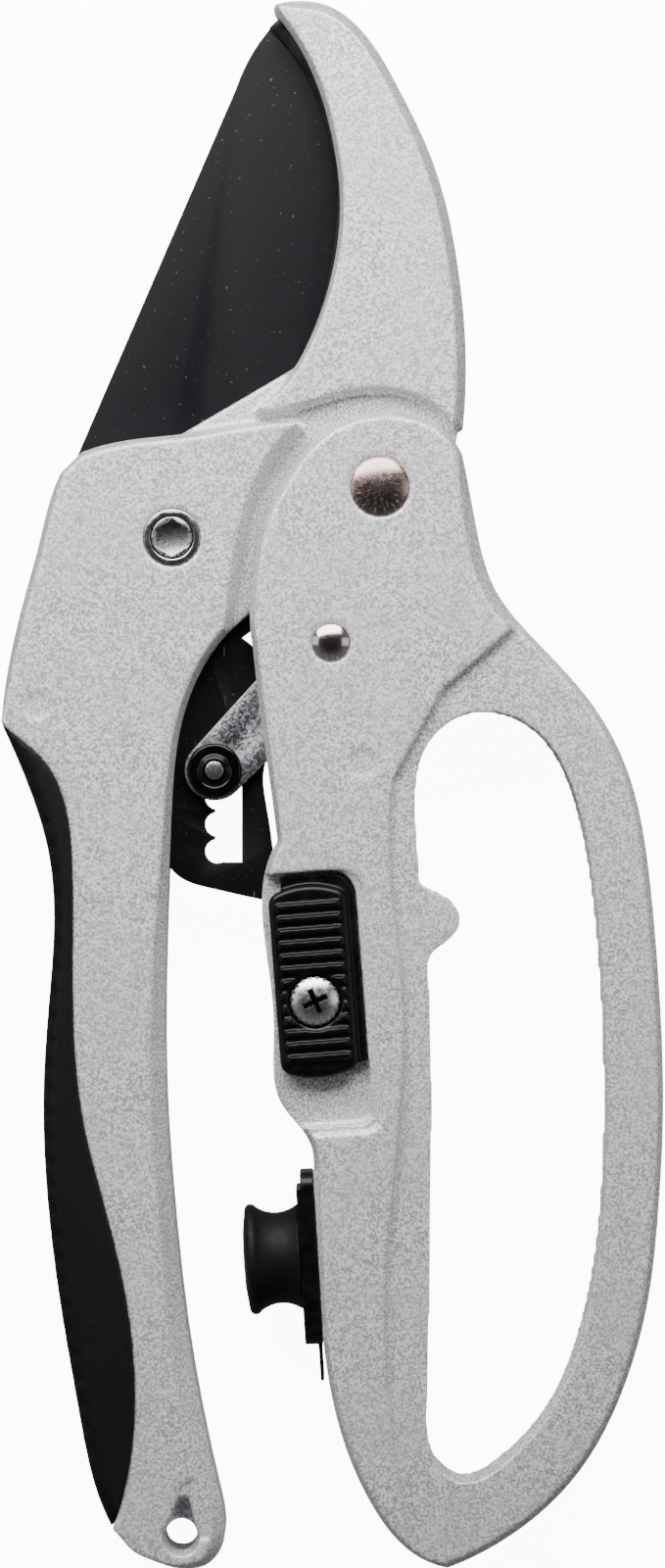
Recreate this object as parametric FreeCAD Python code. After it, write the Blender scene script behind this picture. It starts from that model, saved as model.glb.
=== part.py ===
"""Ratchet anvil pruner with a finger loop, lying on its side with the jaw closed.

In the drawing frame the main pivot is the Z axis and the blade's mid-plane is z = 0, with +Y
along the jaw. At the end everything is moved so that the origin is the middle of the underside.
Millimetres and degrees throughout.
"""
import FreeCAD, Part
import math
import os

V = FreeCAD.Vector

# ---------------------------------------------------------------- driving dimensions
jaw_length = 71.5            # main pivot to the top of the hook
handle_length = 137.0        # main pivot to the bottom of the handles
casting_thickness = 15.0     # both castings over their flat faces
web_thickness = 6.6          # the frame where the lever straddles it
hook_thickness = 11.6
loop_thickness = 12.4
grip_thickness = 15.8
grip_wall = 2.4              # rubber over the handle's core, at the side
grip_rounding = 2.0
draft_depth = 2.6            # the castings' sides slope over this much of their height
loop_flare = 2.6             # the finger hole is wider by this at the faces

blade_thickness = 2.5
blade_play = 0.15            # each side of the blade in its slot
link_thickness = 1.4
link_play = 0.12             # each side of a link plate
web_play = 0.2               # between the frame's web and each cheek of the lever
passing_gap = 0.4            # in plan, round pieces that pass each other
running_gap = 0.05           # radial, every pin in the hole that turns on it

hub_radius = 16.1            # the round of the blade about the main pivot
strip_thickness = 0.9        # landing strip at the bottom of the hook's groove
strip_width = 3.5
strip_side = 2.2             # how far its sides stand back past the cutting edge
edge_chamfer = 1.05          # ground bevel, each side of the cutting edge

notch_pitch = 3.6
notch_count = 4
notch_radius = 1.6
slot_width = 3.55

sleeve_radius = 2.6          # the blade turns on this sleeve
sleeve_cup_radius = 3.7
sleeve_cup_depth = 2.6
sleeve_cup_wall = 0.5
sleeve_cup_gap = 0.12        # round the cup, in the casting's counterbore
pivot_bolt_radius = 1.9
pivot_head_radius = 2.7
pivot_head_gap = 0.2
pivot_hex_flats = 4.3
pivot_socket_floor = 0.3
pivot_nut_flats = 7.0
pivot_nut_height = 3.0

lever_rivet_radius = 2.5
lever_rivet_head = 3.95
link_rivet_radius = 1.7
link_rivet_head = 2.6
rivet_head_sink = 0.65
rivet_dome = 0.8
link_pin_radius = 1.2
pin_cap_radius = 3.65
pin_cap_height = 2.0
link_end_radius = 4.0
link_end_swell = 1.3         # the end at the lever is wider by this, on one side
pin_cap_rounding = 0.5
pin_cap_bowl = 2.3           # the cap's hollow, at its mouth, at its floor, and its depth
pin_cap_bowl_floor = 1.6
pin_cap_bowl_depth = 0.7
pin_cap_play = 0.02
link_pin_proud = 0.3

lock_travel = 6.0
lock_width = 10.4
lock_length = 25.7
lock_tilt = 4.4              # the lock slides at this angle from Y
lock_corner = 1.8
lock_arch = 1.3              # rise of the button's arched ends
carrier_side = 1.1           # the button's lower tier stands out by this much
carrier_top = 1.3
carrier_height = 1.5
recess_top_corner = 3.4
lock_rounding = 0.8
lock_recess_depth = 2.6
lock_rim_width = 1.2         # shallow step round the recess
lock_rim_depth = 0.5
lock_boss_radius = 2.3
lock_screw_radius = 1.5
lock_screw_head = 3.3
lock_screw_head_height = 1.7
lock_screw_sink = 0.9
lock_screw_teeth = 20
lock_cross_depth = 1.1
cross_length = 3.4           # the driver's cross in the screws' heads
cross_width = 0.7
cross_turn = 20
lock_nut_flats = 5.7
lock_nut_proud = 0.6
lock_play = 0.1              # between the button and the floor of its recess
button_proud = 0.1           # of the casting's flat face
latch_width = 6.0
latch_thickness = 2.4
latch_foot = 4.0             # below the screw
latch_head = 9.0             # above the lock's middle
latch_room = 0.8             # in the channel, below the latch at the end of its travel
latch_mouth = 4.5            # the channel runs on by this above the latch
rib_pitch = 1.68
rib_width = 0.8
rib_height = 0.5
rib_margin = 1.1             # ribs stop short of the button's edge
rib_land = 0.7               # and of its screw's head

bumper_radius = 7.4
bumper_waist = 6.1
bumper_reach = 7.6
bumper_plate_length = 22.9
bumper_plate_width = 13.0
bumper_plate_thickness = 2.4
bumper_plate_corner = 2.0
bumper_step_length = 2.0     # the plate's upper end is thinner
bumper_step_depth = 0.6
bumper_seat_depth = 6.0      # metal under the plate
bumper_screw_radius = 1.6
bumper_screw_head = 2.8
bumper_screw_length = 9.5
bumper_bore_depth = 1.6
bumper_cross_depth = 0.9
bumper_tongue_length = 5.0
bumper_tongue_width = 8.0
bumper_tongue_thickness = 0.5
bumper_tongue_gap = 0.15

lanyard_radius = 2.1
lanyard_wide_radius = 2.45   # the mouth of the cord hole, at its wide and its narrow end
lanyard_narrow_radius = 0.9
lanyard_mouth_depth = 3.4
lanyard_scoop_depth = 0.4
ejector_radius = 2.0         # round witness marks of the die's ejector pins
ejector_depth = 0.2

spring_wire = 0.7
spring_turns = 2.5
spring_pitch = 0.76
handle_spring_radius = 4.9

# ---------------------------------------------------------------- places in plan
lever_pivot = (27.6, 6.7)
link_pivot = (21.1, -13.9)
first_notch = (5.6, -30.9)   # where the link's pin lies with the jaw closed
lock_centre = (18.8, -58.9)
lock_screw_below_centre = 2.6
bumper_seat = (19.4, -95.65)
bumper_tilt = 3.5
JAW_ROOT, DRAWN_JAW = 17.0, 71.5           # beyond these roots an outline stretches
HANDLE_ROOT, DRAWN_HANDLE = 82.0, 137.0    # with the jaw or with the handles
FRAME_MARK, LEVER_MARK = (-18.0, -22.3), (25.4, -30.0)

# ---------------------------------------------------------------- derived levels
half = casting_thickness / 2
web = web_thickness / 2
blade_half = blade_thickness / 2
slot_half = blade_half + blade_play
link_low = blade_half + link_play
link_high = link_low + link_thickness
cheek = max(web + web_play, link_high + link_play)   # the lever's inside faces
lock_floor = half - lock_recess_depth
sleeve_cup_floor = half - sleeve_cup_depth
pivot_head_seat = sleeve_cup_floor + sleeve_cup_wall
cap_low = link_high + pin_cap_play
cap_high = cap_low + pin_cap_height
button_low = lock_floor + lock_play
button_high = half + button_proud
screw_seat = button_high - lock_screw_sink


# ---------------------------------------------------------------- small makers
def at(x, y):
    """A point of an outline, stretched with the jaw or with the handles."""
    if y > JAW_ROOT:
        y = JAW_ROOT + (y - JAW_ROOT) * (jaw_length - JAW_ROOT) / (DRAWN_JAW - JAW_ROOT)
    elif y < -HANDLE_ROOT:
        stretch = (handle_length - HANDLE_ROOT) / (DRAWN_HANDLE - HANDLE_ROOT)
        y = -HANDLE_ROOT + (y + HANDLE_ROOT) * stretch
    return V(x, y, 0)


def polar(centre, radius, degrees):
    a = math.radians(degrees)
    return (centre[0] + radius * math.cos(a), centre[1] + radius * math.sin(a))


def beside(points, distance):
    """The run of points moved to the right of its direction of travel."""
    moved = []
    for i, (x, y) in enumerate(points):
        before = points[max(i - 1, 0)]
        after = points[min(i + 1, len(points) - 1)]
        dx, dy = after[0] - before[0], after[1] - before[1]
        length = math.hypot(dx, dy)
        moved.append((x + distance * dy / length, y - distance * dx / length))
    return moved


def curve(points):
    """One edge through the points: straight for two of them, else a smooth curve."""
    points = [at(*p) for p in points]
    if len(points) == 2:
        return Part.makeLine(*points)
    spline = Part.BSplineCurve()
    spline.interpolate(points)
    return spline.toShape()


def ring(*runs):
    """A closed wire of runs of points. Each run starts where the one before it ends, and
    the first starts where the last one ends, so the runs meet in corners."""
    edges, last = [], runs[-1][-1]
    for run in runs:
        edges.append(curve([last] + list(run)))
        last = run[-1]
    return Part.Wire(edges)


def raised(shape, level):
    shape = shape.copy()
    shape.translate(V(0, 0, level))
    return shape


def slab(wire, low, high):
    """The inside of a wire, stood between two levels."""
    return raised(Part.Face(wire), low).extrude(V(0, 0, high - low))


def sloped(wire, face_wire, thickness):
    """A casting with flat faces, whose sides slope in towards each face."""
    top = thickness / 2
    knee = top - draft_depth
    crown = Part.makeLoft([raised(wire, knee), raised(face_wire, top)], True, True)
    return joined([slab(wire, -knee, knee)] + both_sides(crown))


def both_sides(shape):
    """The shape and its mirror image in the blade's mid-plane."""
    return [shape, shape.mirror(V(0, 0, 0), V(0, 0, 1))]


def rod(centre, radius, low, high):
    return Part.makeCylinder(radius, high - low, V(centre[0], centre[1], low))


def brick(x, y, z):
    """A box from three pairs of limits."""
    return Part.makeBox(x[1] - x[0], y[1] - y[0], z[1] - z[0], V(x[0], y[0], z[0]))


def dome(centre, radius, level, rise):
    """A spherical cap that stands on a level."""
    ball = (radius ** 2 + rise ** 2) / (2 * rise)
    start = math.degrees(math.asin((ball - rise) / ball))
    return Part.makeSphere(ball, V(centre[0], centre[1], level + rise - ball), V(0, 0, 1), start, 90)


def joined(shapes):
    return shapes[0].fuse(list(shapes[1:])).removeSplitter()


def hexagon(flats, low, high):
    corners = [V(*polar((0, 0), flats / math.sqrt(3), 60 * i + 30), 0) for i in range(7)]
    return slab(Part.makePolygon(corners), low, high)


def placed(shape, centre, degrees):
    """A shape drawn about the origin, turned in plan and moved to its centre."""
    shape = shape.copy()
    shape.rotate(V(0, 0, 0), V(0, 0, 1), degrees)
    shape.translate(V(centre[0], centre[1], 0))
    return shape


def rounded_bar(width, length, low, high, corner):
    """An upright bar with rounded corners, long along Y, about the origin."""
    bar = brick((-width / 2, width / 2), (-length / 2, length / 2), (low, high))
    return bar.makeFillet(corner, uprights(bar))


def uprights(shape):
    """The straight edges that stand along Z."""
    return [e for e in shape.Edges if e.BoundBox.XLength < 1e-4 and e.BoundBox.YLength < 1e-4
            and e.BoundBox.ZLength > 1e-3]


def rim_at(shape, level):
    """The edges that lie flat at a level."""
    return [e for e in shape.Edges
            if abs(e.BoundBox.ZMin - level) < 1e-4 and abs(e.BoundBox.ZMax - level) < 1e-4]


# ---------------------------------------------------------------- outlines
HOOK_NOSE = [(14.0, 69.5), (13.4, 70.7), (13.9, 71.2)]
HOOK_OUTER = [(17.0, 71.6), (20.6, 71.0), (24.6, 68.3), (30.1, 60.0), (33.9, 52.2), (36.5, 44.3),
              (38.0, 36.5), (38.9, 28.6), (39.1, 20.8), (38.7, 14.4)]
HOOK_HEEL = [(20.6, 18.4), (15.5, 16.9), (10.8, 16.4)]
HOOK_INNER = [(15.0, 20.8), (18.6, 27.2), (21.3, 35.5), (22.3, 45.0), (21.3, 53.2), (18.4, 62.5),
              (14.0, 69.5)]
RIM_RADIUS = 12.9            # the hook's raised face keeps this far from the lever's pivot

PLATE_LEFT = [(-14.9, 8.6), (-16.4, 4.6), (-17.9, -1.5), (-19.7, -8.0), (-21.4, -15.0),
              (-22.7, -24.6)]
PLATE_TOP = [(9.6, 15.2), (3.0, 14.0), (-5.8, 13.0), (-12.0, 11.4)]
GRIP_SEAM = [(-20.4, -26.6), (-16.5, -30.3), (-14.2, -35.5), (-13.3, -42.5), (-13.2, -55.0),
             (-13.0, -67.0), (-11.8, -77.5), (-8.9, -89.0), (-6.2, -100.5), (-5.0, -111.0),
             (-5.4, -121.5), (-7.9, -131.4)]
GRIP_OUTER = [(-9.6, -127.7), (-12.3, -116.5), (-15.0, -100.8), (-16.7, -86.0), (-17.1, -74.0),
              (-16.4, -62.0), (-15.7, -51.8), (-16.4, -42.0), (-18.7, -34.0), (-22.7, -24.6)]
CORE_FOOT, CORE_HEAD = (-9.0, -120.0), (-18.5, -26.0)
CORE_BACK = [(-10.0, -26.0), (-8.0, -60.0), (-4.0, -100.0), (-1.0, -124.0)]
HANDLE_TIP = [(-6.9, -132.5), (-5.4, -134.2), (-2.6, -135.8), (0.0, -136.8), (2.3, -137.0),
              (4.3, -136.6), (5.9, -135.3), (6.8, -133.6), (7.1, -131.3), (6.7, -128.3)]
HANDLE_INSIDE = [(5.0, -121.0), (2.1, -105.0), (0.3, -89.0), (-0.7, -75.0), (-0.9, -62.0),
                 (-0.6, -49.0), (-0.1, -36.0), (0.9, -26.0), (3.3, -18.6), (7.6, -12.4)]
STEP = [(8.6, -6.7), (10.0, 1.2), (13.2, 9.4), (17.6, 14.6)]

LEVER_LEFT = [(10.3, -10.6), (10.6, -6.1), (11.9, 1.5), (15.4, 8.6), (20.8, 14.5),
              (29.4, 16.7), (36.4, 14.1), (38.6, 11.0)]
LEVER_RIGHT = [(40.5, 1.2), (42.9, -6.7), (49.2, -14.5), (56.1, -22.4), (60.3, -30.2),
               (63.6, -45.9), (64.9, -61.6), (65.3, -77.3), (64.7, -89.1), (63.4, -100.8),
               (60.2, -112.6), (53.9, -124.4), (45.6, -132.2), (36.6, -136.9)]
LEVER_BASE = [(31.0, -134.2), (26.4, -128.3), (22.9, -120.5), (20.9, -112.6), (19.9, -104.8),
              (19.1, -89.1), (18.7, -81.6)]
LEVER_LOCK_SIDE = [(17.9, -79.6), (14.6, -75.4), (13.5, -65.5), (12.3, -53.8), (11.9, -48.6),
                   (12.2, -45.0), (14.0, -40.3)]
LEVER_CHEEK_SIDE = [(13.2, -34.1), (11.6, -22.4), (10.7, -14.5)]
LOOP_CREASE = [(30.5, -128.0), (28.3, -108.0), (29.0, -90.0), (30.6, -60.0), (29.0, -44.0),
               (29.4, -32.0)]
BEYOND_LOOP = [(80.0, -22.0), (80.0, -150.0), (33.0, -150.0)]
OVER_LOOP = [(36.0, -20.0), (50.0, -8.0)]
LOOP_INNER = [(32.8, -68.0), (32.8, -85.2), (32.6, -100.8), (32.2, -115.2),
              (34.0, -124.4), (38.3, -127.0), (44.7, -124.4), (51.8, -116.5), (56.4, -104.8),
              (58.9, -89.1), (59.4, -73.4), (58.1, -49.8), (55.2, -34.1), (51.4, -26.3),
              (46.3, -22.4), (39.0, -21.8), (32.8, -26.3), (30.7, -34.1), (31.3, -46.0)]
LOOP_NUB = [(33.4, -48.3), (36.0, -49.3), (36.7, -50.6), (35.7, -52.3), (33.2, -54.1),
            (32.4, -57.5), (32.6, -62.0)]

EDGE = [(14.4, 69.6), (17.2, 66.6), (21.0, 60.3), (23.4, 52.5), (24.2, 46.3), (23.9, 40.2),
        (22.4, 32.0), (19.2, 23.8), (16.6, 19.2)]
SPINE_SHOULDER = (8.4, 60.0)
SPINE_TOP = [(11.8, 66.6), (14.4, 69.6)]
SPINE_ANGLE = 156.6
TAIL_RIGHT = [(12.8, -16.9), (14.4, -21.5), (13.3, -27.0), (12.1, -31.2), (12.6, -36.2),
              (13.4, -41.9), (13.6, -48.4)]
TAIL_BOTTOM = [(11.7, -48.1), (5.4, -46.7), (1.9, -45.7), (-0.6, -43.6)]
TAIL_LEFT = [(-2.2, -40.0), (-2.8, -32.0), (-3.6, -23.0), (-6.0, -15.0)]
HUB_RIGHT, HUB_FOOT, HUB_BACK = 3.6, -55.0, 222.0      # where the outline joins the hub, as angles
OPEN_SIDE = 175.0            # the blade's room runs round to this angle
TAIL_ROOM_FOOT = [(30.0, -49.4), (1.0, -49.4), (-1.6, -45.0)]
TAIL_ROOM_HEAD, TAIL_ROOM_SIDE = -52.57, (30.0, -30.0)  # an angle round the hub, and a point

LEVER_SLOT = [(46.0, 30.0), (46.0, 6.6), (36.0, -0.4), (31.0, -3.6), (29.0, -9.0), (28.4, -16.0),
              (26.5, -22.5), (21.5, -32.0), (17.6, -40.0), (15.4, -46.0), (0.0, -46.0), (0.0, 30.0)]
TOE_ROOM = (0.0, 14.0), (-49.4, -40.0)
WEB_FOOT = [(10.5, -9.8), (20.0, -2.4)]
WEB_ROUND = 8.2              # the web's radius about the lever's pivot
WEB_OUTSIDE = [(36.9, 9.4), (38.0, 14.0), (38.2, 18.0)]
WEB_UNDER = [(30.0, 26.0), (18.5, 24.0), (-2.0, 12.0), (-8.0, 0.0), (0.0, -14.0), (7.6, -12.4)]
LANYARD_WIDE, LANYARD_NARROW = (1.2, -132.5), (1.5, -128.0)
LANYARD_SCOOP = [(3.3, -124.5), (4.4, -124.3), (5.3, -128.0), (6.2, -132.6),
                 (3.6, -132.8), (1.4, -130.0), (0.4, -127.2), (1.4, -125.5)]


def circle_run(centre, radius, degrees):
    """Points on a circle at the angles given."""
    return [polar(centre, radius, a) for a in degrees]


# ---------------------------------------------------------------- frame casting
def handle_rings():
    """The handle and pivot plate: the ring at mid-height and the ring of the flat face."""
    tip = [HANDLE_TIP, HANDLE_INSIDE, STEP, PLATE_TOP, [(-14.9, 8.6)], PLATE_LEFT[1:], GRIP_SEAM]
    insets = [(0, 0, 0.2, 0.5, 0.8, 1.1, 1.5, 1.9, 2.2, 2.4),
              (3.0, 2.7, 2.2, 2.2, 1.9, 1.4, 0.9, 0.7, 0.7, 0.8), (1.1,) * 4,
              (0.7,) * 4, (0.7,), (0.8, 0.8, 0.8, 0.8, 0.0), (0,) * len(GRIP_SEAM)]
    face = []
    for run, inset in zip(tip, insets):
        shifted = beside(run, -1.0) if len(run) > 1 else [(run[0][0] + 1, run[0][1])]
        face.append([(x + (sx - x) * w, y + (sy - y) * w)
                     for (x, y), (sx, sy), w in zip(run, shifted, inset)])
    return ring(*tip), ring(*face)


def hook_rings():
    rim = circle_run(lever_pivot, RIM_RADIUS, (54, 75, 96))
    runs = [HOOK_NOSE[1:2], HOOK_NOSE[2:], HOOK_OUTER, rim, HOOK_HEEL, HOOK_INNER]
    nose = beside(HOOK_NOSE, 0.6)
    face = [nose[1:2], nose[2:], beside(HOOK_OUTER, 1.3), beside(rim, 0.4),
            beside(HOOK_HEEL, 0.5), beside(HOOK_INNER, 0.5)]
    return ring(*runs), ring(*face)


def web_solid():
    """The thin part of the frame, from the plate to the lever's pivot and the hook."""
    around = circle_run(lever_pivot, WEB_ROUND, (-100, -60, -15))
    wire = ring(WEB_FOOT, around, WEB_OUTSIDE, *[[p] for p in WEB_UNDER])
    return slab(wire, -web, web)


def jaw_slot():
    """The room for the blade: its closed place in the hook, and all that it sweeps."""
    sweep = at(*EDGE[0]).Length + passing_gap
    landing = beside(EDGE, -passing_gap)
    top_angle = math.degrees(math.atan2(landing[0][1], landing[0][0]))
    over = [V(*polar((0, 0), sweep, a), 0) for a in (OPEN_SIDE, (OPEN_SIDE + top_angle) / 2, top_angle)]
    landing_points = [at(*p) for p in landing]
    landing_edge = Part.BSplineCurve()
    landing_edge.interpolate(landing_points)
    hub_side = V(*polar((0, 0), hub_radius + passing_gap, HUB_RIGHT), 0)
    edges = [Part.Arc(*over).toShape(),
             Part.makeLine(over[-1], landing_points[0]),
             landing_edge.toShape(),
             Part.makeLine(landing_points[-1], hub_side),
             Part.makeLine(hub_side, V(0, 0, 0)),
             Part.makeLine(V(0, 0, 0), V(-sweep, 0, 0)),
             Part.makeLine(V(-sweep, 0, 0), over[0])]
    return joined([slab(Part.Wire(edges), -slot_half, slot_half),
                   rod((0, 0), hub_radius + passing_gap, -slot_half, slot_half)])


def tail_slot():
    """The room for the blade's tail in the handle's inner side, up to the room for its hub."""
    left = beside(TAIL_LEFT, -passing_gap)
    hub_room = hub_radius + passing_gap
    wire = ring(*[[p] for p in TAIL_ROOM_FOOT], left, [polar((0, 0), hub_room, HUB_BACK)],
                [polar((0, 0), hub_room, TAIL_ROOM_HEAD)], [TAIL_ROOM_SIDE])
    return slab(wire, -slot_half, slot_half)


def strip_ring(outer, inner):
    run = beside(EDGE[:-1], -outer)
    back = list(reversed(beside(EDGE[:-1], -inner)))
    return ring(run[1:], [back[0]], back[1:], [run[0]])


def landing_strip():
    """The liner of the hook's groove: a floor for the cutting edge, and two thin sides."""
    near = passing_gap - 0.1
    far = near + strip_thickness
    floor = slab(strip_ring(far, near), -strip_width / 2, strip_width / 2)
    side = slab(strip_ring(far, -strip_side), slot_half, strip_width / 2)
    return joined([floor] + both_sides(side))


def ejector_mark(centre):
    return rod(centre, ejector_radius, half - ejector_depth, half + 1)


def handle_core():
    """The part of the frame that stands inside the rubber grip."""
    under_rubber = beside(GRIP_OUTER, grip_wall)[1:-1]
    wire = ring([CORE_FOOT] + under_rubber + [CORE_HEAD], *[[p] for p in CORE_BACK])
    core_half = grip_thickness / 2 - grip_wall
    return slab(wire, -core_half, core_half)


def lanyard_mouth():
    """The tear-shaped mouth of the cord hole, on one face."""
    wide, narrow = at(*LANYARD_WIDE), at(*LANYARD_NARROW)
    tall = (half - lanyard_mouth_depth, half + 1)
    neck = narrow - wide
    across = V(-neck.y, neck.x, 0).normalize()
    corners = [wide + across * lanyard_wide_radius, narrow + across * lanyard_narrow_radius,
               narrow - across * lanyard_narrow_radius, wide - across * lanyard_wide_radius]
    wedge = slab(Part.makePolygon(corners + [corners[0]]), *tall)
    scoop = slab(ring(LANYARD_SCOOP), half - lanyard_scoop_depth, half + 1)
    return joined([wedge, rod(wide, lanyard_wide_radius, *tall),
                   rod(narrow, lanyard_narrow_radius, *tall), scoop])


def lanyard_hole():
    """The round hole for a wrist cord, with its mouths on both faces."""
    return [rod(at(*LANYARD_WIDE), lanyard_radius, -half, half)] + both_sides(lanyard_mouth())


def anvil_frame():
    """Hook, pivot plate and fixed handle, one casting."""
    handle = sloped(*handle_rings(), casting_thickness)
    hook = sloped(*hook_rings(), hook_thickness)
    body = joined([handle, web_solid(), hook, handle_core()])
    cuts = [jaw_slot(), tail_slot(), landing_strip(), ejector_mark(FRAME_MARK), spring_pocket(),
            rod((0, 0), sleeve_radius, -half - 1, half + 1),
            rod((0, 0), sleeve_cup_radius + sleeve_cup_gap, sleeve_cup_floor, half + 1),
            hexagon(pivot_nut_flats, -half - 1, -half + pivot_nut_height),
            rod(lever_pivot, lever_rivet_radius + running_gap, -half, half)]
    return body.cut(cuts + lanyard_hole())


def handle_grip():
    """Rubber over the outer side of the fixed handle."""
    over = grip_thickness / 2
    wire = ring(GRIP_SEAM, GRIP_OUTER)
    shell = slab(wire, -over, over)
    seam_middle = V(GRIP_SEAM[4][0], GRIP_SEAM[4][1], 0)
    outer = [e for e in rim_at(shell, over) + rim_at(shell, -over)
             if raised(e, -e.BoundBox.ZMin).distToShape(Part.Vertex(seam_middle))[0] > 1.0]
    return shell.makeFillet(grip_rounding, outer).cut(handle_core())


# ---------------------------------------------------------------- pivot at the blade
def pivot_sleeve():
    cup = rod((0, 0), sleeve_cup_radius, sleeve_cup_floor, half)
    tube = rod((0, 0), sleeve_radius, -half + pivot_nut_height, sleeve_cup_floor)
    body = joined([cup, tube])
    head = rod((0, 0), pivot_head_radius + pivot_head_gap, pivot_head_seat, half + 1)
    return body.cut([head, rod((0, 0), pivot_bolt_radius, -half, half)])


def pivot_bolt():
    head = rod((0, 0), pivot_head_radius, pivot_head_seat, half - 0.15)
    shank = rod((0, 0), pivot_bolt_radius, -half + 0.2, pivot_head_seat)
    socket = hexagon(pivot_hex_flats, pivot_head_seat + pivot_socket_floor, half + 1)
    return joined([head, shank]).cut(socket)


def pivot_nut():
    nut = hexagon(pivot_nut_flats, -half + 0.1, -half + pivot_nut_height)
    return nut.cut(rod((0, 0), pivot_bolt_radius, -half, half))


# ---------------------------------------------------------------- blade
def hub_point(degrees):
    return polar((0, 0), hub_radius, degrees)


def blade_ring():
    return ring([SPINE_SHOULDER], SPINE_TOP, EDGE[1:], [hub_point(HUB_RIGHT)], [(0.0, 0.0)],
                [hub_point(HUB_FOOT)], TAIL_RIGHT, TAIL_BOTTOM, TAIL_LEFT,
                [hub_point(HUB_BACK)], [(-2.0, 0.0)], [hub_point(SPINE_ANGLE)])


def notches():
    """The ratchet's notches down the left of the slot. The first tooth is cut back."""
    low, high = -blade_half - 1, blade_half + 1
    centre_x = first_notch[0] + notch_radius - link_pin_radius - 0.1
    left = centre_x - 0.25
    right = left + slot_width
    top = first_notch[1] + notch_radius
    bottom = first_notch[1] - notch_pitch * (notch_count - 1) - notch_radius + 0.15
    cuts = [brick((left, right), (bottom, top), (low, high)),
            brick((centre_x - notch_radius, right), (first_notch[1] - notch_pitch, top), (low, high))]
    for i in range(notch_count):
        cuts.append(rod((centre_x, first_notch[1] - i * notch_pitch), notch_radius, low, high))
    return joined(cuts)


def blade():
    """Hardened plate: cutting part, round hub and ratchet tail."""
    plate = joined([slab(blade_ring(), -blade_half, blade_half),
                    rod((0, 0), hub_radius, -blade_half, blade_half)])
    edge_mid = at(*EDGE[4])
    ground = [e for e in rim_at(plate, blade_half) + rim_at(plate, -blade_half)
              if e.distToShape(Part.Vertex(V(edge_mid.x, edge_mid.y, e.BoundBox.ZMin)))[0] < 0.01]
    plate = plate.makeChamfer(edge_chamfer, ground)
    return plate.cut([notches(), rod((0, 0), sleeve_radius + running_gap, -half, half)])


# ---------------------------------------------------------------- lever casting
def lever_rings():
    runs = [LEVER_LEFT, LEVER_RIGHT, LEVER_BASE, LEVER_LOCK_SIDE, LEVER_CHEEK_SIDE]
    insets = [0.7, 1.7, 0.7, 0.7, 0.7]
    face = [beside(run, inset) for run, inset in zip(runs, insets)]
    return ring(*runs), ring(*face)


def lock_frame(shape):
    return placed(shape, lock_centre, lock_tilt)


def lock_pocket(grow, corner, floor):
    """A pocket open towards the other handle, and larger than the lock by a margin."""
    top = lock_length / 2 + carrier_top + passing_gap
    bottom = -lock_length / 2 - lock_travel - passing_gap - grow
    side = lock_width / 2 + carrier_side + passing_gap / 2 + grow
    pocket = brick((-12.0, side), (bottom, top), (floor, half + 1))
    right = [e for e in uprights(pocket) if e.CenterOfMass.x > 0]
    lower, upper = sorted(right, key=lambda e: e.CenterOfMass.y)
    pocket = pocket.makeFillet(corner, [lower])
    upper = max(uprights(pocket), key=lambda e: e.CenterOfMass.x + e.CenterOfMass.y)
    return lock_frame(pocket.makeFillet(recess_top_corner, [upper]))


def lock_recess():
    """The sunk flat that the button slides on, with a shallow step round it."""
    return joined([lock_pocket(0, 1.6, lock_floor),
                   lock_pocket(lock_rim_width, 2.2, half - lock_rim_depth)])


def slotted(radius, low, high):
    """A slot for a round boss that travels with the lock."""
    top = -lock_screw_below_centre
    bottom = top - lock_travel
    return joined([rod((0, top), radius, low, high), rod((0, bottom), radius, low, high),
                   brick((-radius, radius), (bottom, top), (low, high))])


def lock_cuts():
    """The recesses, the slot of the button's boss and the channel of the latch."""
    boss = lock_frame(slotted(lock_boss_radius + passing_gap / 2, -half, half))
    latch_side = latch_width / 2 + passing_gap / 2
    latch_half = latch_thickness / 2 + link_play
    bottom = -lock_screw_below_centre - latch_foot - lock_travel - latch_room
    channel = brick((-latch_side, latch_side), (bottom, latch_head + latch_mouth),
                    (-latch_half, latch_half))
    return both_sides(lock_recess()) + [boss, lock_frame(channel)]


def loop_thinning():
    """Takes the loop's bar down from the full thickness."""
    keep = loop_thickness / 2
    wire = ring(*[[p] for p in BEYOND_LOOP], LOOP_CREASE, *[[p] for p in OVER_LOOP])
    return both_sides(slab(wire, keep, half + 1))


def finger_hole():
    """The opening of the loop, flared towards both faces."""
    wire = ring(LOOP_INNER, LOOP_NUB)
    flared = ring(beside(LOOP_INNER, -loop_flare), beside(LOOP_NUB, -loop_flare))
    knee = loop_thickness / 2 - draft_depth
    mouth = Part.makeLoft([raised(wire, knee), raised(flared, half)], True, True)
    return [slab(wire, -knee, knee)] + both_sides(mouth)


def bumper_frame(shape):
    """Turned so that its Z axis points from the lever to the fixed handle."""
    shape = shape.copy()
    shape.rotate(V(0, 0, 0), V(0, 1, 0), -90)
    return placed(shape, bumper_seat, bumper_tilt)


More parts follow.
